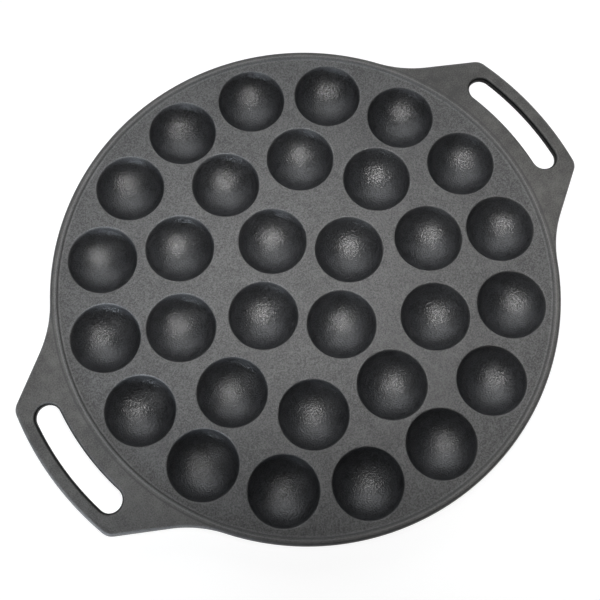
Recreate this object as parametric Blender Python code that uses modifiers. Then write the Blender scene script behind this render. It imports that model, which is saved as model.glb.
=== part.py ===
# Poffertjes pan: one iron casting with thirty round wells and two slotted handles.
#
# Metres, +Z up. The origin is on the ground under the pan's centre, and the handles
# point along +X and -X. The pan stands on the small flats under its wells.

import math

import bmesh
import bpy

# Disc
DISC_RADIUS = 0.150  # over the rim, without the handles
EDGE_THICKNESS = 0.0060  # at the rim and all over the handles
EDGE_ROUNDING = 0.0020  # on every outer edge and round both slots
RIM_WIDTH = 0.0050
RIM_HEIGHT = 0.0012  # of the rim and the handle tops above the cooking surface
RIM_DRAFT = 0.0009  # lean of the rim's inner wall, so that the casting leaves its mould

# Handles
HANDLE_REACH = 0.0315  # past the disc's edge
HANDLE_WIDTH = 0.0892  # over the outer corners, before they are rounded
HANDLE_SIDE_ANGLE = math.radians(31.2)  # between each straight side and the long axis
HANDLE_CORNER_RADIUS = 0.0085
HANDLE_ROOT_RADIUS = 0.070  # hollow curve that runs each side into the disc
SLOT_WIDTH = 0.0144
SLOT_LENGTH = 0.0726  # tip to tip
SLOT_BAR_WIDTH = 0.0083  # grip left outside the slot

# Wells
WELL_RADIUS = 0.02025  # where the bowl would meet the cooking surface
WELL_DEPTH = 0.015
WELL_RISE = 0.0020  # the bowl would be widest this far above the surface, which is its draft
WELL_LIP_RADIUS = 0.0010  # rounded edge of the mouth
WELL_WALL = 0.0035
FOOT_RADIUS = 0.0055  # flat under each well

# Rings of wells, from the rim inwards
WELL_LAND = 0.0050  # least metal left between neighbours in a ring
RIM_LAND = 0.00375  # between the rim and the outer ring's mouths
OUTER_RING_LAND = 0.0026  # between the outer ring and the middle one
INNER_RING_LAND = 0.0050  # between the middle ring and the inner one
OUTER_RING_TURN = 0.0  # start of each ring, in steps from well to well
MIDDLE_RING_TURN = 0.5
INNER_RING_TURN = 0.0

# Facets
DISC_STEP = math.radians(4.0)
FILLET_STEP = math.radians(11.0)
RIM_SEGMENTS = 72
WELL_SEGMENTS = 16
BOWL_RINGS = 4
DOME_RINGS = 3
LIP_RINGS = 1
SMOOTH_BELOW = math.radians(30.0)
CUTTER_CLEARANCE = 0.0004  # how far a cutter stands out of the face that it cuts
WELD_DISTANCE = 1e-6

# Levels and radii that follow from the sizes above
BOWL_HALF_HEIGHT = WELL_DEPTH + WELL_RISE
BOWL_HALF_WIDTH = WELL_RADIUS / math.sqrt(1 - (WELL_RISE / BOWL_HALF_HEIGHT) ** 2)
FOOT_TURN = math.asin(FOOT_RADIUS / (BOWL_HALF_WIDTH + WELL_WALL))
BOWL_CENTRE_Z = (BOWL_HALF_HEIGHT + WELL_WALL) * math.cos(FOOT_TURN)
SURFACE_Z = BOWL_CENTRE_Z - WELL_RISE
TOP_Z = SURFACE_Z + RIM_HEIGHT
PLATE_BOTTOM_Z = TOP_Z - EDGE_THICKNESS
RIM_INNER_RADIUS = DISC_RADIUS - RIM_WIDTH
HANDLE_OUTER_RADIUS = DISC_RADIUS + HANDLE_REACH
SLOT_OUTER_RADIUS = HANDLE_OUTER_RADIUS - SLOT_BAR_WIDTH
SLOT_INNER_RADIUS = SLOT_OUTER_RADIUS - SLOT_WIDTH


def clear_scene():
    for old in list(bpy.data.objects):
        bpy.data.objects.remove(old, do_unlink=True)


def new_collection(name, hidden=False):
    collection = bpy.data.collections.new(name)
    bpy.context.scene.collection.children.link(collection)
    collection.hide_render = hidden
    return collection


def iron_material():
    """Bare iron with a baked-on oil film: dark, nearly matt, only faintly metallic."""
    material = bpy.data.materials.new("seasoned_iron")
    material.use_nodes = True
    shader = material.node_tree.nodes["Principled BSDF"]
    shader.inputs["Base Color"].default_value = (0.085, 0.086, 0.089, 1.0)
    shader.inputs["Metallic"].default_value = 0.35
    shader.inputs["Roughness"].default_value = 0.62
    material.diffuse_color = (0.085, 0.086, 0.089, 1.0)
    return material


def arc(centre, radius, start, end, step):
    """Points on a circle from one angle to another, both ends included."""
    count = max(1, math.ceil(abs(end - start) / step))
    angles = [start + (end - start) * i / count for i in range(count + 1)]
    return [
        (centre[0] + radius * math.cos(a), centre[1] + radius * math.sin(a)) for a in angles
    ]


def quarter_outline():
    """The outline from the middle of the +X handle to the disc's +Y side.

    The handle's end is an arc about the pan's centre. A rounded corner leads to the
    straight side, and a hollow curve leads from there to the disc.
    """
    normal = math.pi / 2 - HANDLE_SIDE_ANGLE
    across = (math.cos(normal), math.sin(normal))
    along = (across[1], -across[0])  # outwards along the straight side
    corner_y = HANDLE_WIDTH / 2
    corner_x = math.sqrt(HANDLE_OUTER_RADIUS**2 - corner_y**2)
    side_distance = corner_x * across[0] + corner_y * across[1]

    def point(out, forward):
        return (
            across[0] * out + along[0] * forward,
            across[1] * out + along[1] * forward,
        )

    corner_out = side_distance - HANDLE_CORNER_RADIUS
    corner_reach = HANDLE_OUTER_RADIUS - HANDLE_CORNER_RADIUS
    corner = point(corner_out, math.sqrt(corner_reach**2 - corner_out**2))
    corner_angle = math.atan2(corner[1], corner[0])

    root_out = side_distance + HANDLE_ROOT_RADIUS
    root_reach = DISC_RADIUS + HANDLE_ROOT_RADIUS
    root = point(root_out, math.sqrt(root_reach**2 - root_out**2))
    root_angle = math.atan2(root[1], root[0])

    end = arc((0, 0), HANDLE_OUTER_RADIUS, 0.0, corner_angle, DISC_STEP)
    bend = arc(corner, HANDLE_CORNER_RADIUS, corner_angle, normal, FILLET_STEP)
    hollow = arc(
        root, HANDLE_ROOT_RADIUS, normal + math.pi, root_angle + math.pi, DISC_STEP
    )
    disc = arc((0, 0), DISC_RADIUS, root_angle, math.pi / 2, DISC_STEP)
    return end + bend[1:] + hollow + disc[1:]


def pan_outline():
    quarter = quarter_outline()
    half = quarter + [(-x, y) for x, y in reversed(quarter[:-1])]
    return half + [(-x, -y) for x, y in half[1:-1]]


def slot_outline(side):
    """One handle's slot: a band bent about the pan's centre, with round ends."""
    middle = (SLOT_OUTER_RADIUS + SLOT_INNER_RADIUS) / 2
    end = SLOT_WIDTH / 2
    turn = math.asin((SLOT_LENGTH / 2 - end) / middle)
    tip = (middle * math.cos(turn), middle * math.sin(turn))
    foot = (tip[0], -tip[1])
    points = arc((0, 0), SLOT_OUTER_RADIUS, -turn, turn, DISC_STEP)
    points += arc(tip, end, turn, turn + math.pi, 2 * FILLET_STEP)[1:]
    points += arc((0, 0), SLOT_INNER_RADIUS, turn, -turn, DISC_STEP)[1:]
    points += arc(foot, end, math.pi - turn, 2 * math.pi - turn, 2 * FILLET_STEP)[1:-1]
    return [(side * x, side * y) for x, y in reversed(points)]


def add_loop(curve, points):
    spline = curve.splines.new("POLY")
    spline.points.add(len(points) - 1)
    for knot, (x, y) in zip(spline.points, points):
        knot.co = (x, y, 0.0, 1.0)
    spline.use_cyclic_u = True


def object_from(name, mesh, collection):
    made = bpy.data.objects.new(name, mesh)
    collection.objects.link(made)
    return made


def evaluated_mesh(source):
    """The object's mesh with its modifiers or its curve settings worked in."""
    bpy.context.view_layer.update()
    graph = bpy.context.evaluated_depsgraph_get()
    return bpy.data.meshes.new_from_object(source.evaluated_get(graph))


def weld(mesh):
    body = bmesh.new()
    body.from_mesh(mesh)
    bmesh.ops.remove_doubles(body, verts=body.verts, dist=WELD_DISTANCE)
    bmesh.ops.recalc_face_normals(body, faces=body.faces)
    body.to_mesh(mesh)
    body.free()


def flat_blank(collection):
    """Disc, handles and slots as one plate with rounded edges."""
    curve = bpy.data.curves.new("pan_outline", "CURVE")
    curve.dimensions = "2D"
    curve.fill_mode = "BOTH"
    curve.extrude = EDGE_THICKNESS / 2 - EDGE_ROUNDING
    curve.bevel_depth = EDGE_ROUNDING
    curve.bevel_resolution = 1
    curve.offset = -EDGE_ROUNDING
    add_loop(curve, pan_outline())
    add_loop(curve, slot_outline(1))
    add_loop(curve, slot_outline(-1))
    drawn = object_from("pan_outline", curve, collection)
    drawn.location.z = TOP_Z - EDGE_THICKNESS / 2
    mesh = evaluated_mesh(drawn)
    mesh.transform(drawn.matrix_world)
    weld(mesh)
    bpy.data.objects.remove(drawn)
    return object_from("pan_casting", mesh, collection)


def revolved(name, profile, segments, collection):
    """Mesh of a profile turned about Z. The profile runs from the top to the bottom."""
    mesh = bpy.data.meshes.new(name)
    edges = [(i, i + 1) for i in range(len(profile) - 1)]
    mesh.from_pydata([(x, 0.0, z) for x, z in profile], edges, [])
    turned = object_from(name, mesh, collection)
    screw = turned.modifiers.new("turn", "SCREW")
    screw.steps = segments
    screw.render_steps = segments
    screw.use_merge_vertices = True
    screw.merge_threshold = WELD_DISTANCE
    result = evaluated_mesh(turned)
    weld(result)
    bpy.data.objects.remove(turned)
    return result


def bowl_point(turn, wall=0.0):
    """A point on the bowl's half ellipse, or on the wall outside it, turned up from the bottom."""
    return (
        (BOWL_HALF_WIDTH + wall) * math.sin(turn),
        BOWL_CENTRE_Z - (BOWL_HALF_HEIGHT + wall) * math.cos(turn),
    )


def dome_profile():
    """Outside of a well, from inside the plate down to its foot."""
    start = math.acos((BOWL_CENTRE_Z - PLATE_BOTTOM_Z) / (BOWL_HALF_HEIGHT + WELL_WALL))
    turns = [start + (FOOT_TURN - start) * i / DOME_RINGS for i in range(DOME_RINGS + 1)]
    side = [bowl_point(turn, WELL_WALL) for turn in turns]
    neck = (side[0][0], (PLATE_BOTTOM_Z + SURFACE_Z) / 2)
    return [(0.0, neck[1]), neck] + side + [(0.0, side[-1][1])]


def well_profile():
    """Inside of a well: a rounded lip that runs into the bowl."""
    mouth_turn = math.asin(WELL_RADIUS / BOWL_HALF_WIDTH)
    steepness = math.atan(math.tan(mouth_turn) * BOWL_HALF_HEIGHT / BOWL_HALF_WIDTH)
    lip_width = WELL_LIP_RADIUS * math.tan(steepness / 2)
    centre = (WELL_RADIUS + lip_width, SURFACE_Z - WELL_LIP_RADIUS)
    upright = math.pi / 2
    lip = arc(centre, WELL_LIP_RADIUS, upright, upright + steepness, steepness / LIP_RINGS)
    # The first facet is carried on above the surface, so that the cut leaves no film there.
    slope = (lip[0][0] - lip[1][0]) / (lip[0][1] - lip[1][1])
    above = (lip[0][0] + slope * CUTTER_CLEARANCE, SURFACE_Z + CUTTER_CLEARANCE)
    start = math.acos((BOWL_CENTRE_Z - lip[-1][1]) / BOWL_HALF_HEIGHT)
    bowl = [bowl_point(start * (1 - i / BOWL_RINGS)) for i in range(1, BOWL_RINGS + 1)]
    return [(0.0, above[1]), above] + lip[1:] + bowl


def ring_places(radius, turn):
    """Well centres on one ring, as (angle, x, y), as many as its land allows."""
    spacing = 2 * WELL_RADIUS + WELL_LAND
    if radius < spacing / 2:
        return [(0.0, 0.0, 0.0)]
    count = 2 * int(math.pi / math.asin(spacing / (2 * radius)) / 2)
    angles = [2 * math.pi * (i + turn) / count for i in range(count)]
    return [(a, radius * math.cos(a), radius * math.sin(a)) for a in angles]


def well_places():
    outer = RIM_INNER_RADIUS - RIM_LAND - WELL_RADIUS
    middle = outer - OUTER_RING_LAND - 2 * WELL_RADIUS
    inner = middle - INNER_RING_LAND - 2 * WELL_RADIUS
    places = ring_places(outer, OUTER_RING_TURN)
    places += ring_places(middle, MIDDLE_RING_TURN)
    places += ring_places(inner, INNER_RING_TURN)
    return places


def copies_at_wells(name, mesh, collection):
    for number, (angle, x, y) in enumerate(well_places(), start=1):
        copy = object_from(f"{name}_{number:02d}", mesh, collection)
        copy.location = (x, y, 0.0)
        copy.rotation_euler.z = angle
        copy.display_type = "WIRE"
        copy.hide_render = True


def recess_profile():
    """The cooking surface and the rim's leaning inner wall, as one shallow cutter."""
    lean = RIM_DRAFT / RIM_HEIGHT
    top_z = TOP_Z + CUTTER_CLEARANCE
    top_radius = RIM_INNER_RADIUS + lean * (top_z - SURFACE_Z)
    return [
        (0.0, top_z),
        (top_radius, top_z),
        (RIM_INNER_RADIUS, SURFACE_Z),
        (0.0, SURFACE_Z),
    ]


def add_boolean(target, operation, operand):
    step = target.modifiers.new(operand.name, "BOOLEAN")
    step.operation = operation
    step.solver = "EXACT"
    if isinstance(operand, bpy.types.Collection):
        step.operand_type = "COLLECTION"
        step.collection = operand
    else:
        step.object = operand


def build_pan():
    clear_scene()
    parts = new_collection("poffertjes_pan")
    cutters = new_collection("pan_cutters", hidden=True)
    domes = bpy.data.collections.new("well_domes")
    wells = bpy.data.collections.new("well_hollows")
    cutters.children.link(domes)
    cutters.children.link(wells)

    pan = flat_blank(parts)
    recess_mesh = revolved("recess", recess_profile(), RIM_SEGMENTS, cutters)
    recess = object_from("recess", recess_mesh, cutters)
    recess.display_type = "WIRE"
    recess.hide_render = True
    dome_mesh = revolved("dome", dome_profile(), WELL_SEGMENTS, cutters)
    copies_at_wells("dome", dome_mesh, domes)
    well_mesh = revolved("well", well_profile(), WELL_SEGMENTS, cutters)
    copies_at_wells("well", well_mesh, wells)

    add_boolean(pan, "DIFFERENCE", recess)
    add_boolean(pan, "UNION", domes)
    add_boolean(pan, "DIFFERENCE", wells)
    casting = evaluated_mesh(pan)
    casting.materials.clear()
    casting.materials.append(iron_material())
    casting.shade_smooth()
    casting.set_sharp_from_angle(angle=SMOOTH_BELOW)
    pan.modifiers.clear()
    pan.data = casting
    # Large flat faces keep their own normals, so that they are shaded flat.
    shading = pan.modifiers.new("even_shading", "WEIGHTED_NORMAL")
    shading.keep_sharp = True
    return pan


build_pan()
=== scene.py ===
import math

import bmesh
import bpy
from mathutils import Matrix, Vector


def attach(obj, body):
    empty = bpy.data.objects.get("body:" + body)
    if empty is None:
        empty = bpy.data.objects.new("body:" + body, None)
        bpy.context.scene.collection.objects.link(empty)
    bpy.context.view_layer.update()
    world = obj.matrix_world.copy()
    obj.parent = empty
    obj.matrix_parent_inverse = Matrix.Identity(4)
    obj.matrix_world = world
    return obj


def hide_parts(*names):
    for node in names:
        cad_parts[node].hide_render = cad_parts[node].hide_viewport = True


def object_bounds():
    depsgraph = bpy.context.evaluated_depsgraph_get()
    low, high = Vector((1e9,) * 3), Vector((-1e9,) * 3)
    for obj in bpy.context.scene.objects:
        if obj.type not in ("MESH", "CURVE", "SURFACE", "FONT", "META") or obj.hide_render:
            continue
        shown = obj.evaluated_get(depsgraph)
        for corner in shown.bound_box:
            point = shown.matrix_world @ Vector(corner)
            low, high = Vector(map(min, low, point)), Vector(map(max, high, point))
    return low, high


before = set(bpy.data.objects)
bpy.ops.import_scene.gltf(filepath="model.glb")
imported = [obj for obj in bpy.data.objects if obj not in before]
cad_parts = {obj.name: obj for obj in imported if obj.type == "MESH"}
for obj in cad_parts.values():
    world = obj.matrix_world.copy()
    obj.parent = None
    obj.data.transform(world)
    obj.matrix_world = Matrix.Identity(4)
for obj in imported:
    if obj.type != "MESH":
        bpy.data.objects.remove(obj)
cadLow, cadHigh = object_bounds()
topZ = cadHigh.z
print(f"frame loaded, {topZ * 1000:.1f} mm tall")


# Disc and handles, as one flat plate. Lengths are in metres.
plate = {
    "discRadius": 0.150,
    "thickness": 0.0060,
    "edgeRound": 0.0020,
    "edgeSteps": 5,
    "roundFrom": 1.0,  # radians between the faces at an edge
    "handleReach": 0.0315,
    "handleWidth": 0.0892,
    "sideAngle": math.radians(31.2),  # the handles' straight sides, against the line through both
    "cornerRadius": 0.0085,
    "rootRadius": 0.070,  # the hollow curve from a handle's side into the disc
    "slotWidth": 0.0144,
    "slotLength": 0.0726,
    "barWidth": 0.0083,  # the grip outside the slot
    "curveStep": math.radians(1.5),
    "cornerStep": math.radians(7.0),
    "slotEndStep": math.radians(10.5),
}


def sweep(bm, vert, centre, turn, step):
    # draws an arc by turning one vertex about a centre, and gives back its last vertex
    made = bmesh.ops.spin(bm, geom=[vert], cent=(*centre, 0.0), axis=(0, 0, 1),
                          angle=turn, steps=max(2, math.ceil(abs(turn) / step)))
    return next(v for v in made["geom_last"] if isinstance(v, bmesh.types.BMVert))


def lineTo(bm, vert, place):
    # draws a straight line to a place, and gives back its last vertex
    end = bmesh.ops.extrude_vert_indiv(bm, verts=[vert])["verts"][0]
    end.co = (*place, 0.0)
    return end


def slotLine():
    # a slot's inner radius, the radius of its middle line, and half that line's angle
    outer = plate["discRadius"] + plate["handleReach"] - plate["barWidth"]
    inner = outer - plate["slotWidth"]
    middle = (outer + inner) / 2
    return inner, middle, math.asin((plate["slotLength"] - plate["slotWidth"]) / 2 / middle)


def drawQuarter(bm):
    # one quarter of the plate: round the handle and the disc, then back past the slot
    p = plate
    reach = p["discRadius"] + p["handleReach"]
    facing = math.pi / 2 - p["sideAngle"]
    across = (math.cos(facing), math.sin(facing))
    along = (across[1], -across[0])
    tipY = p["handleWidth"] / 2
    tipX = math.sqrt(reach**2 - tipY**2)
    sideOut = tipX * across[0] + tipY * across[1]

    def centreAt(out, radius):
        forward = math.sqrt(radius**2 - out**2)
        return (across[0] * out + along[0] * forward, across[1] * out + along[1] * forward)

    corner = centreAt(sideOut - p["cornerRadius"], reach - p["cornerRadius"])
    root = centreAt(sideOut + p["rootRadius"], p["discRadius"] + p["rootRadius"])
    cornerAngle = math.atan2(corner[1], corner[0])
    rootAngle = math.atan2(root[1], root[0])
    hollowStart = (root[0] - across[0] * p["rootRadius"], root[1] - across[1] * p["rootRadius"])

    first = bm.verts.new((reach, 0.0, 0.0))
    v = sweep(bm, first, (0, 0), cornerAngle, p["curveStep"])
    v = sweep(bm, v, corner, facing - cornerAngle, p["cornerStep"])
    v = lineTo(bm, v, hollowStart)
    v = sweep(bm, v, root, rootAngle - facing, p["curveStep"])
    v = sweep(bm, v, (0, 0), math.pi / 2 - rootAngle, p["curveStep"])

    slotInner, middle, slotTurn = slotLine()
    slotEnd = (middle * math.cos(slotTurn), middle * math.sin(slotTurn))
    v = lineTo(bm, v, (0.0, 0.0))
    v = lineTo(bm, v, (slotInner, 0.0))
    v = sweep(bm, v, (0, 0), slotTurn, p["curveStep"])
    v = sweep(bm, v, slotEnd, -math.pi, p["slotEndStep"])
    v = sweep(bm, v, (0, 0), -slotTurn, p["curveStep"])
    bm.edges.new((v, first))


def inScene(name, data):
    made = bpy.data.objects.new(name, data)
    bpy.context.scene.collection.objects.link(made)
    return made


def asObject(name, bm):
    mesh = bpy.data.meshes.new(name)
    bm.to_mesh(mesh)
    bm.free()
    return inScene(name, mesh)


def onSeam(face):
    # whether a face closes the quarter against its mirror image
    return any(all(abs(v.co[axis]) < 1e-6 for v in face.verts) for axis in (0, 1))


def makePlate():
    # the quarter is drawn flat, raised, mirrored both ways and rounded at all its edges
    p = plate
    bm = bmesh.new()
    drawQuarter(bm)
    bmesh.ops.edgeloop_fill(bm, edges=bm.edges[:])
    made = bmesh.ops.extrude_face_region(bm, geom=bm.faces[:])
    raised = [v for v in made["geom"] if isinstance(v, bmesh.types.BMVert)]
    bmesh.ops.translate(bm, verts=raised, vec=(0, 0, p["thickness"]))
    bmesh.ops.delete(bm, geom=[f for f in bm.faces if onSeam(f)], context="FACES")
    for axis in "XY":
        whole = bm.verts[:] + bm.edges[:] + bm.faces[:]
        bmesh.ops.mirror(bm, geom=whole, axis=axis, merge_dist=1e-6)
    bmesh.ops.remove_doubles(bm, verts=bm.verts[:], dist=1e-6)
    bmesh.ops.recalc_face_normals(bm, faces=bm.faces[:])
    sharp = [e for e in bm.edges if len(e.link_faces) == 2 and e.calc_face_angle() > p["roundFrom"]]
    bmesh.ops.bevel(bm, geom=sharp, offset=p["edgeRound"], offset_type="OFFSET", affect="EDGES",
                    segments=p["edgeSteps"], profile=0.5, material=-1)
    bmesh.ops.translate(bm, verts=bm.verts[:], vec=(0, 0, topZ - p["thickness"]))
    return asObject("ironPan", bm)


# Rim round the cooking surface
rim = {
    "width": 0.0050,
    "height": 0.0012,
    "draft": 0.0009,  # how far its inner side leans back
    "topRound": 0.0007,
    "creaseRound": 0.0003,
    "roundSteps": 4,
    "cutAbove": 0.0004,  # how far the cutting body stands out, so that the cut is clean
    "cutPast": 0.0001,
    "segments": 288,
}
surfaceZ = topZ - rim["height"]
rimInner = plate["discRadius"] - rim["width"]

# Wells, and how they are set out in three rings
well = {
    "radius": 0.02025,
    "depth": 0.015,
    "rise": 0.0020,  # the bowl's centre, above the cooking surface
    "lipRound": 0.0010,
    "wall": 0.0035,
    "footRadius": 0.0055,
    "baseRound": 0.0018,
    "land": 0.0050,  # the least between neighbours in a ring
    "rimLand": 0.00375,
    "ringLands": (0.0026, 0.0050),  # outer to middle ring, and middle to inner
    "segments": 64,
    "bowlSteps": 12,
    "roundSteps": 5,
    "lipRun": 0.00003,
    "cutAbove": 0.0004,
    "domeOverlap": 0.001,  # how far a dome reaches up into the plate
    "clearReach": 0.054,  # the least between the domes of one group
}
halfHeight = well["depth"] + well["rise"]
halfWidth = well["radius"] / math.sqrt(1 - (well["rise"] / halfHeight) ** 2)
bowlCentreZ = surfaceZ + well["rise"]


def rounding(centre, radius, start, end, steps):
    # points along an arc, from one angle to another
    angles = [start + (end - start) * i / steps for i in range(steps + 1)]
    return [(centre[0] + radius * math.cos(a), centre[1] + radius * math.sin(a)) for a in angles]


def bowlPoint(turn, wall=0.0):
    # a point of the bowl's curve, or of the dome's a wall's thickness outside it
    across = (halfWidth + wall) * math.sin(turn)
    return (across, bowlCentreZ - (halfHeight + wall) * math.cos(turn))


def turned(name, profile, segments):
    # a profile in the XZ plane, turned about Z into a closed body
    bm = bmesh.new()
    points = [bm.verts.new((x, 0.0, z)) for x, z in profile]
    line = [bm.edges.new(pair) for pair in zip(points, points[1:])]
    bmesh.ops.spin(bm, geom=points + line, cent=(0, 0, 0), axis=(0, 0, 1),
                   angle=2 * math.pi, steps=segments, use_merge=True)
    bmesh.ops.remove_doubles(bm, verts=bm.verts[:], dist=1e-7)
    bmesh.ops.recalc_face_normals(bm, faces=bm.faces[:])
    return bm


def recessProfile():
    # what is cut away inside the rim: its side leans, and is round at the crest and the crease
    lean = math.atan2(rim["height"], rim["draft"])
    crestIn = rimInner + rim["draft"] + rim["topRound"] * math.tan(lean / 2)
    creaseOut = rimInner - rim["creaseRound"] * math.tan(lean / 2)
    topCentre = (crestIn, topZ - rim["topRound"])
    creaseCentre = (creaseOut, surfaceZ + rim["creaseRound"])
    steps = rim["roundSteps"]
    topBend = rounding(topCentre, rim["topRound"], math.pi / 2, math.pi / 2 + lean, steps)
    crease = rounding(creaseCentre, rim["creaseRound"], lean - math.pi / 2, -math.pi / 2, steps)
    above = topZ + rim["cutAbove"]
    start = [(0.0, above), (topBend[0][0] + rim["cutPast"], above)]
    return start + topBend + crease + [(0.0, surfaceZ)]


def bowlProfile():
    # what is cut away for a well: a round mouth, then the bowl down to its middle
    r = well["lipRound"]
    edge = (halfWidth + r) * math.sqrt(1 - ((well["rise"] + r) / (halfHeight + r)) ** 2)
    touch = math.asin(edge / (halfWidth + r))
    x, z = bowlPoint(touch)
    lip = rounding((edge, surfaceZ - r), r, math.pi / 2,
                   math.atan2(z - surfaceZ + r, x - edge), well["roundSteps"])
    # the lip's first facet runs on a little above the surface, so the cut is clean there
    slope = (lip[0][0] - lip[1][0]) / (lip[0][1] - lip[1][1])
    above = (lip[0][0] + slope * well["lipRun"], surfaceZ + well["lipRun"])
    start = [(0.0, surfaceZ + well["cutAbove"]), (above[0], surfaceZ + well["cutAbove"]), above]
    steps = well["bowlSteps"]
    bowl = [bowlPoint(touch * (1 - i / steps)) for i in range(1, steps + 1)]
    return start + lip[1:] + bowl


def domeProfile():
    # the dome under a well: from inside the plate round its root, then down to its flat foot
    r, wall = well["baseRound"], well["wall"]
    baseZ = topZ - plate["thickness"]
    drop = (bowlCentreZ - baseZ + r) / (halfHeight + wall + r)
    edge = (halfWidth + wall + r) * math.sqrt(1 - drop**2)
    touch = math.acos(drop)
    x, z = bowlPoint(touch, wall)
    base = rounding((edge, baseZ - r), r, math.pi / 2,
                    math.atan2(z - baseZ + r, x - edge), well["roundSteps"])
    foot = math.asin(well["footRadius"] / (halfWidth + wall))
    steps = well["bowlSteps"]
    dome = [bowlPoint(touch + (foot - touch) * i / steps, wall) for i in range(1, steps + 1)]
    inside = (edge, baseZ + well["domeOverlap"])
    print(f"foot at {dome[-1][1] * 1000:.3f} mm")
    return [(0.0, inside[1]), inside] + base + dome + [(0.0, dome[-1][1])]


def wellPlaces():
    # three rings from the rim inwards, each with the largest even number of wells that fits
    gap = 2 * well["radius"]
    outer = rimInner - well["rimLand"] - well["radius"]
    middle = outer - well["ringLands"][0] - gap
    inner = middle - well["ringLands"][1] - gap
    places = []
    for ring, start in ((outer, 0.0), (middle, 0.5), (inner, 0.0)):
        count = 2 * int(math.pi / math.asin((gap + well["land"]) / (2 * ring)) / 2)
        for i in range(count):
            angle = 2 * math.pi * (i + start) / count
            places.append((ring * math.cos(angle), ring * math.sin(angle)))
    return places


def copiesAt(name, bm, places):
    # one body at each place, all in one object
    everywhere = bmesh.new()
    mesh = bpy.data.meshes.new(name)
    bm.to_mesh(mesh)
    for x, y in places:
        before = len(everywhere.verts)
        everywhere.from_mesh(mesh)
        everywhere.verts.ensure_lookup_table()
        bmesh.ops.translate(everywhere, verts=everywhere.verts[before:], vec=(x, y, 0))
    return asObject(name, everywhere)


def join(target, tool, operation):
    # adds the tool to the target or cuts it out, and keeps the result as the target's mesh
    step = target.modifiers.new(operation.lower(), "BOOLEAN")
    step.operation = operation
    step.solver = "MANIFOLD"
    step.object = tool
    bpy.context.view_layer.update()
    graph = bpy.context.evaluated_depsgraph_get()
    mesh = bpy.data.meshes.new_from_object(target.evaluated_get(graph))
    target.modifiers.clear()
    target.data = mesh
    bpy.data.objects.remove(tool)


def apartGroups(places, reach):
    # groups whose members stand clear of each other, so that each group is one clean body
    groups = []
    for place in places:
        for group in groups:
            if all(math.dist(place, other) > reach for other in group):
                group.append(place)
                break
        else:
            groups.append([place])
    return groups


pan = makePlate()
print(f"plate: {len(pan.data.polygons)} faces")
places = wellPlaces()
join(pan, asObject("recess", turned("recess", recessProfile(), rim["segments"])), "DIFFERENCE")
dome = turned("dome", domeProfile(), well["segments"])
for group in apartGroups(places, well["clearReach"]):
    join(pan, copiesAt("domes", dome, group), "UNION")
    print(f"domes: {len(group)} joined, {len(pan.data.polygons)} faces")
bowl = turned("bowl", bowlProfile(), well["segments"])
join(pan, copiesAt("bowls", bowl, places), "DIFFERENCE")
print(f"wells: {len(places)} cut, {len(pan.data.polygons)} faces")


def cleanShape(obj):
    # merges what the cuts left double, and reports any open edge
    bm = bmesh.new()
    bm.from_mesh(obj.data)
    bmesh.ops.remove_doubles(bm, verts=bm.verts[:], dist=1e-6)
    bmesh.ops.dissolve_degenerate(bm, edges=bm.edges[:], dist=1e-7)
    bmesh.ops.recalc_face_normals(bm, faces=bm.faces[:])
    openEdges = sum(1 for e in bm.edges if len(e.link_faces) != 2)
    triangles = sum(len(f.verts) - 2 for f in bm.faces)
    print(f"clean: {openEdges} open edges, {triangles} triangles")
    bm.to_mesh(obj.data)
    bm.free()


def clamped(value, low=0.0, high=1.0):
    return max(low, min(high, value))


def fromSlot(x, y):
    # the distance from the middle line of the nearer slot
    _, middle, turn = slotLine()
    angle = clamped(math.atan2(y, abs(x)), -turn, turn)
    return math.dist((abs(x), y), (middle * math.cos(angle), middle * math.sin(angle)))


# Where the finish changes over the shape
marks = {
    "slotWall": 0.0013,  # how far the painted shade, black on the slots' walls, reaches round their edges
    "slotFade": 0.0008,
    "handleFrom": (0.156, 0.160),  # along the handles' line, and from the centre
    "outerWallBelow": 0.0009,
    "outerWallTilt": math.radians(50),
    "outerWallShare": 0.75,  # how black the painted shade on the handles' outer walls is
    "bowlReach": 1.09,  # in the bowl's own radii
    "wellFade": 0.0016,
    "wearAndHighlightDown": 0.0021,  # how far below the top the edges take wear and a painted highlight
    "sharpAngle": math.radians(32),
}


def markSurfaces(obj):
    # how far each point is inside a well, on an upper edge that takes wear and a painted highlight,
    # or on a handle's walls, which take painted shade
    m = marks
    mesh = obj.data
    inWell = mesh.attributes.new("inWell", "FLOAT", "POINT")
    edgeWearAndHighlight = mesh.attributes.new("edgeWearAndHighlight", "FLOAT", "POINT")
    paintedWallShade = mesh.attributes.new("paintedWallShade", "FLOAT", "POINT")
    for vert in mesh.vertices:
        x, y, z = vert.co
        tilt = math.acos(clamped(vert.normal.z, -1.0, 1.0))
        onWall = clamped((plate["slotWidth"] / 2 + m["slotWall"] - fromSlot(x, y)) / m["slotFade"])
        onHandle = abs(x) > m["handleFrom"][0] and math.hypot(x, y) > m["handleFrom"][1]
        if onHandle and z < topZ - m["outerWallBelow"] and tilt > m["outerWallTilt"]:
            onWall = max(onWall, m["outerWallShare"])
        paintedWallShade.data[vert.index].value = onWall
        near = min(math.hypot(x - a, y - b) for a, b in places)
        size = math.hypot(near / halfWidth, (bowlCentreZ - z) / halfHeight)
        depth = surfaceZ - z if size < m["bowlReach"] else 0.0
        inWell.data[vert.index].value = clamped(depth / m["wellFade"])
        onEdge = z > topZ - m["wearAndHighlightDown"] and tilt < math.pi / 2
        edgeWearAndHighlight.data[vert.index].value = max(math.sin(2 * tilt), 0.0) if onEdge else 0.0


cleanShape(pan)
markSurfaces(pan)
pan.data.shade_smooth()
pan.data.set_sharp_from_angle(angle=marks["sharpAngle"])
even = pan.modifiers.new("even", "WEIGHTED_NORMAL")
even.keep_sharp = True


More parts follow.
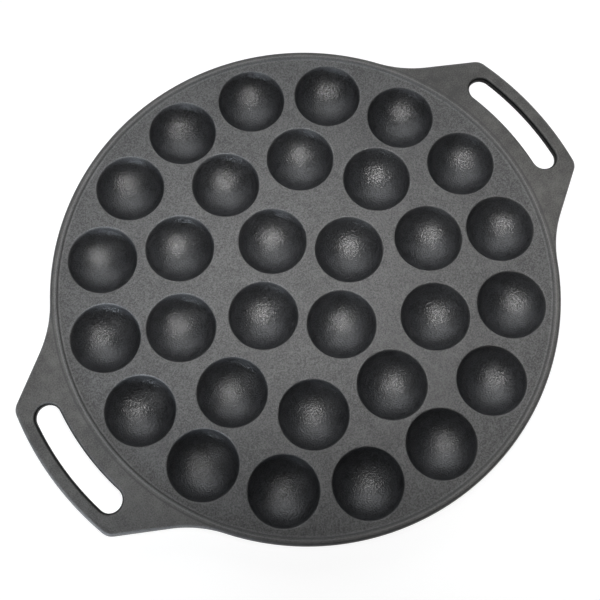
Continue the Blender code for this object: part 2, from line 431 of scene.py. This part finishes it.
class Wire:
    # one socket of a material, so that its sums can be written as sums
    def __init__(self, bench, socket):
        self.bench = bench
        self.socket = socket

    def __add__(self, other):
        return self.bench.maths("ADD", self, other)

    def __radd__(self, other):
        return self.bench.maths("ADD", other, self)

    def __sub__(self, other):
        return self.bench.maths("SUBTRACT", self, other)

    def __rsub__(self, other):
        return self.bench.maths("SUBTRACT", other, self)

    def __mul__(self, other):
        return self.bench.maths("MULTIPLY", self, other)

    def __rmul__(self, other):
        return self.bench.maths("MULTIPLY", other, self)


class Bench:
    # where the nodes of a material, or of the world, are put together
    def __init__(self, owner):
        owner.use_nodes = True
        self.owner = owner
        self.nodes = owner.node_tree.nodes
        self.links = owner.node_tree.links
        self.nodes.clear()

    def add(self, kind, settings=None, inputs=None, output=0):
        # a node by its type, its settings and its inputs, which gives back one of its outputs
        node = self.nodes.new(kind)
        for name, value in (settings or {}).items():
            setattr(node, name, value)
        for name, value in (inputs or {}).items():
            socket = node.inputs[name]
            if isinstance(value, Wire):
                self.links.new(value.socket, socket)
            elif isinstance(value, tuple) and len(value) == 3 and socket.type == "RGBA":
                socket.default_value = (*value, 1.0)
            else:
                socket.default_value = value
        return Wire(self, node.outputs[output]) if node.outputs else None

    def maths(self, operation, *values):
        return self.add("ShaderNodeMath", {"operation": operation}, dict(enumerate(values)))

    def mixColours(self, share, first, second):
        # sockets 6 and 7 of a Mix node are its two colours, and output 2 is the mixed one
        settings = {"data_type": "RGBA", "blend_type": "MIX"}
        return self.add("ShaderNodeMix", settings, {0: share, 6: first, 7: second}, output=2)

    def noise(self, place, scale, detail, rough):
        inputs = {"Vector": place, "Scale": scale, "Detail": detail, "Roughness": rough}
        return self.add("ShaderNodeTexNoise", {}, inputs)

    def levels(self, wire, low, high, to=(0.0, 1.0)):
        # a smooth step between low and high, from the first value of to up to the second
        settings = {"clamp": True, "interpolation_type": "SMOOTHSTEP"}
        inputs = {0: wire, 1: low, 2: high, 3: to[0], 4: to[1]}
        return self.add("ShaderNodeMapRange", settings, inputs)


# Iron under a baked-on film of oil
iron = {
    "landDark": (0.018, 0.018, 0.018),
    "landLight": (0.118, 0.118, 0.118),
    "wellDark": (0.0034, 0.0037, 0.0043),
    "wellLight": (0.036, 0.0378, 0.0418),
    "handleDark": (0.025, 0.0240, 0.0220),
    "handleLight": (0.117, 0.113, 0.106),
    "paintedEdgeShade": (0.030, 0.030, 0.030),
    "wearAndHighlightColour": (0.190, 0.190, 0.190),
    # painted shade, black, on the slots' walls and the handles' outer walls
    "wallShadeBlack": (0.009, 0.009, 0.009),
    # noises: scale, detail and roughness
    "grain": (1250.0, 3.0, 0.7),
    "dimples": (1150.0, 1.0, 0.5),
    "mottle": (150.0, 3.0, 0.6),
    "patches": (32.0, 3.0, 0.55),
    # how much of each noise a surface's colour takes
    "landShares": (0.80, 0.12, 0.08),
    "handleShares": (0.50, 0.25, 0.25),
    "wellShares": (0.70, 0.30),
    "contrast": (0.38, 0.62),  # the noise at which it is all dark, and all light
    # worn edges with a painted highlight on them, broken up by the grain
    "wearAndHighlightShare": 0.5,
    "upperEdgeLeast": 0.01,
    "raggedGrain": (0.3, 0.7),
    "raggedShare": (0.4, 0.9),
    # lines of painted light and shade round the rim: radius, width and strength
    "innerRimHighlight": (0.1446, 0.0008, 0.55),
    "crease": (0.1456, 0.0008, 0.65),
    "crest": (0.1469, 0.0007, 1.0),
    "outerRimShade": (0.1487, 0.0009, 0.80),
    "handleFade": (0.1456, 0.1469),  # the radii between which the handles' shades set in
    # sheen and relief
    "landRoughness": 0.58,
    "wellRoughness": 0.355,
    "roughnessSpread": 0.16,
    "grainHeight": 0.00034,
    "dimpleHeight": 0.00036,
    "mottleHeight": 0.00012,
    "wellSmoothing": 0.75,
    "specular": 0.95,
}


def ironFinish():
    b = Bench(bpy.data.materials.new("seasonedIron"))
    place = b.add("ShaderNodeTexCoord", output="Object")
    inWell = b.add("ShaderNodeAttribute", {"attribute_name": "inWell"}, output="Fac")
    edgeWearAndHighlight = b.add("ShaderNodeAttribute", {"attribute_name": "edgeWearAndHighlight"}, output="Fac")
    paintedWallShade = b.add("ShaderNodeAttribute", {"attribute_name": "paintedWallShade"}, output="Fac")
    flat = b.add("ShaderNodeVectorMath", {"operation": "MULTIPLY"}, {0: place, 1: (1, 1, 0)})
    reach = b.add("ShaderNodeVectorMath", {"operation": "LENGTH"}, {0: flat}, output="Value")
    grain = b.noise(place, *iron["grain"])
    dimples = b.noise(place, *iron["dimples"])
    mottle = b.noise(place, *iron["mottle"])
    patches = b.noise(place, *iron["patches"])

    def speckle(name, *noises):
        # a surface's dark and light shade, mixed by its shares of some noises
        shares = iron[name + "Shares"]
        level = noises[0] * shares[0]
        for noise, share in zip(noises[1:], shares[1:]):
            level = level + noise * share
        level = b.levels(level, *iron["contrast"])
        return b.mixColours(level, iron[name + "Dark"], iron[name + "Light"])

    def ringLine(name):
        # full on a circle about the pan's centre, fading out within the line's width
        radius, width, strength = iron[name]
        return b.levels(b.maths("ABSOLUTE", reach - radius), width, 0.0) * strength

    land = speckle("land", grain, mottle, patches)
    handle = speckle("handle", grain, mottle, patches)
    oiled = speckle("well", dimples, mottle)
    outside = b.mixColours(b.levels(reach, *iron["handleFade"]), land, handle)
    ragged = b.levels(grain, *iron["raggedGrain"], iron["raggedShare"])
    onEdge = b.maths("GREATER_THAN", edgeWearAndHighlight, iron["upperEdgeLeast"])
    # wear and a painted highlight on the rounded upper edges
    edges = b.mixColours(edgeWearAndHighlight * ragged * iron["wearAndHighlightShare"], outside, iron["wearAndHighlightColour"])
    # a painted highlight just inside the crease
    edges = b.mixColours(ringLine("innerRimHighlight") * ragged, edges, iron["wearAndHighlightColour"])
    # painted shade in the crease
    edges = b.mixColours(ringLine("crease"), edges, iron["paintedEdgeShade"])
    # a painted highlight on the rim's crest, partly wear
    edges = b.mixColours(ringLine("crest") * ragged, edges, iron["wearAndHighlightColour"])
    # painted shade on the outer rounding of the upper edges
    edges = b.mixColours(ringLine("outerRimShade") * onEdge, edges, iron["paintedEdgeShade"])
    # painted shade: the walls of the slots and the handles' outer walls are black, and metallic as
    # well, so that they hardly mirror the white table
    colour = b.mixColours(paintedWallShade, b.mixColours(inWell, edges, oiled), iron["wallShadeBlack"])

    roughness = iron["landRoughness"] + (grain - 0.5) * iron["roughnessSpread"]
    roughness = roughness - inWell * (iron["landRoughness"] - iron["wellRoughness"])
    height = grain * iron["grainHeight"] * (1 - inWell * iron["wellSmoothing"])
    height = height + mottle * iron["mottleHeight"] + dimples * inWell * iron["dimpleHeight"]
    bump = b.add("ShaderNodeBump", {}, {"Strength": 1.0, "Distance": 1.0, "Height": height})
    shader = b.add("ShaderNodeBsdfPrincipled", {}, {
        "Base Color": colour,
        "Roughness": roughness,
        "Metallic": paintedWallShade,
        "Specular IOR Level": iron["specular"],
        "Normal": bump,
    })
    b.add("ShaderNodeOutputMaterial", {}, {"Surface": shader})
    return b.owner


pan.data.materials.clear()
pan.data.materials.append(ironFinish())
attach(pan, "root")
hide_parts("pan_casting")
print("iron finish on")


# Camera over the pan: measured from the photo's well mouths and outline. The lens and the
# sensor are in millimetres.
shot = {
    "heading": math.radians(-43.37),
    "aim": (-0.00311, -0.01130),  # on the cooking surface, in the heading's own axes
    "elevation": math.radians(75.54),
    "roll": math.radians(4.66),
    "distance": 0.51833,
    "lens": 53.21,
    "sensor": 36.0,
    "clipStart": 0.01,
}
towardsView = Matrix.Rotation(shot["heading"], 4, "Z")


def setCamera():
    data = bpy.data.cameras.new("view")
    data.sensor_width = shot["sensor"]
    data.lens = shot["lens"]
    data.clip_start = shot["clipStart"]
    camera = inScene("view", data)
    camera.matrix_world = (
        towardsView
        @ Matrix.Translation((*shot["aim"], surfaceZ))
        @ Matrix.Rotation(math.pi / 2 - shot["elevation"], 4, "X")
        @ Matrix.Rotation(shot["roll"], 4, "Z")
        @ Matrix.Translation((0, 0, shot["distance"]))
    )
    bpy.context.scene.camera = camera


# The white table and the room round it
studio = {
    "tableSize": 8.0,
    "tableCells": 4,
    "tableShade": 0.8,
    "tableGlow": 0.7,  # the share of its own glow that the camera and mirrors see
    "glowStrength": 1.3,
    "backdropTop": 0.10,  # as a direction's height, out of 1
    "roomShade": (0.010, 0.0105, 0.011),
}

# Each lamp stands and faces as seen from the camera's side. Sizes are in metres, powers in
# watts and spreads in degrees.
lamps = {
    "overheadLeft": {
        "at": (0.008, -0.080, 0.47), "facing": (-0.092, 0.024, 0.0), "size": (0.11, 0.11),
        "power": 0.130, "colour": (1.0, 0.99, 0.98), "spread": 49.4,
    },
    "overheadRight": {
        "at": (0.008, -0.080, 0.47), "facing": (0.212, 0.060, 0.0), "size": (0.11, 0.11),
        "power": 0.280, "colour": (1.0, 0.99, 0.98), "spread": 68.3,
    },
    "farWindow": {
        "at": (0.0, 0.75, 0.85), "facing": (0.0, 0.0, 0.0), "size": (1.2, 0.6),
        "power": 4.1, "colour": (0.955, 0.975, 1.0), "spread": 180,
    },
    "farLeft": {
        "at": (-0.40, 0.40, 0.45), "facing": (0.0, 0.0, 0.0), "size": (0.4, 0.3),
        "power": 0.32, "colour": (0.93, 0.96, 1.0), "spread": 140,
    },
    "nearLeft": {
        "at": (-0.32, -0.30, 0.26), "facing": (-0.13, -0.11, 0.0), "size": (0.14, 0.12),
        "power": 0.018, "colour": (0.97, 0.98, 1.0), "spread": 48,
    },
    "nearLow": {
        "at": (-0.24, -0.50, 0.085), "facing": (-0.12, 0.0, 0.012), "size": (0.14, 0.05),
        "power": 0.13, "colour": (0.82, 0.90, 1.0), "spread": 42,
    },
}


def setLamps():
    for name, lamp in lamps.items():
        data = bpy.data.lights.new(name, "AREA")
        data.shape = "RECTANGLE"
        data.size, data.size_y = lamp["size"]
        data.energy = lamp["power"]
        data.color = lamp["colour"]
        data.spread = math.radians(lamp["spread"])
        at = Vector(lamp["at"])
        turn = (Vector(lamp["facing"]) - at).to_track_quat("-Z", "Y").to_matrix().to_4x4()
        inScene(name, data).matrix_world = towardsView @ Matrix.Translation(at) @ turn


def raySeen(b, *names):
    # one where a ray is of any of these kinds
    seen = b.add("ShaderNodeLightPath", output=names[0])
    for name in names[1:]:
        seen = b.maths("MAXIMUM", seen, b.add("ShaderNodeLightPath", output=name))
    return seen


def setTable():
    bm = bmesh.new()
    cells = studio["tableCells"]
    bmesh.ops.create_grid(bm, x_segments=cells, y_segments=cells, size=studio["tableSize"] / 2)
    table = asObject("table", bm)
    b = Bench(bpy.data.materials.new("whiteTable"))
    seen = raySeen(b, "Is Camera Ray", "Is Glossy Ray", "Is Transmission Ray")
    paint = b.add("ShaderNodeBsdfDiffuse", {}, {"Color": (studio["tableShade"],) * 3})
    white = {"Color": (1.0, 1.0, 1.0), "Strength": studio["glowStrength"]}
    glow = b.add("ShaderNodeEmission", {}, white)
    mixed = b.add("ShaderNodeMixShader", {}, {0: seen * studio["tableGlow"], 1: paint, 2: glow})
    # see-through from below, so that the pan's underside can be looked at
    below = b.add("ShaderNodeNewGeometry", output="Backfacing")
    clear = b.add("ShaderNodeBsdfTransparent")
    mixed = b.add("ShaderNodeMixShader", {}, {0: below, 1: mixed, 2: clear})
    b.add("ShaderNodeOutputMaterial", {}, {"Surface": mixed})
    table.data.materials.append(b.owner)


def setRoom():
    # white to the camera all round, and to a mirror or glass as high as a backdrop stands
    world = bpy.data.worlds.new("room")
    bpy.context.scene.world = world
    b = Bench(world)
    way = b.add("ShaderNodeTexCoord")
    height = b.add("ShaderNodeSeparateXYZ", {}, {0: way}, output="Z")
    backdrop = b.levels(height, studio["backdropTop"], 0.0)
    mirrored = raySeen(b, "Is Glossy Ray", "Is Transmission Ray") * backdrop
    white = b.maths("MAXIMUM", mirrored, raySeen(b, "Is Camera Ray"))
    shade = b.mixColours(white, studio["roomShade"], (1.0, 1.0, 1.0))
    room = b.add("ShaderNodeBackground", {}, {"Color": shade, "Strength": 1.0})
    b.add("ShaderNodeOutputWorld", {}, {"Surface": room})


setCamera()
setLamps()
setTable()
setRoom()
bpy.context.scene.view_settings.view_transform = "Standard"
print("camera, lamps and table set")
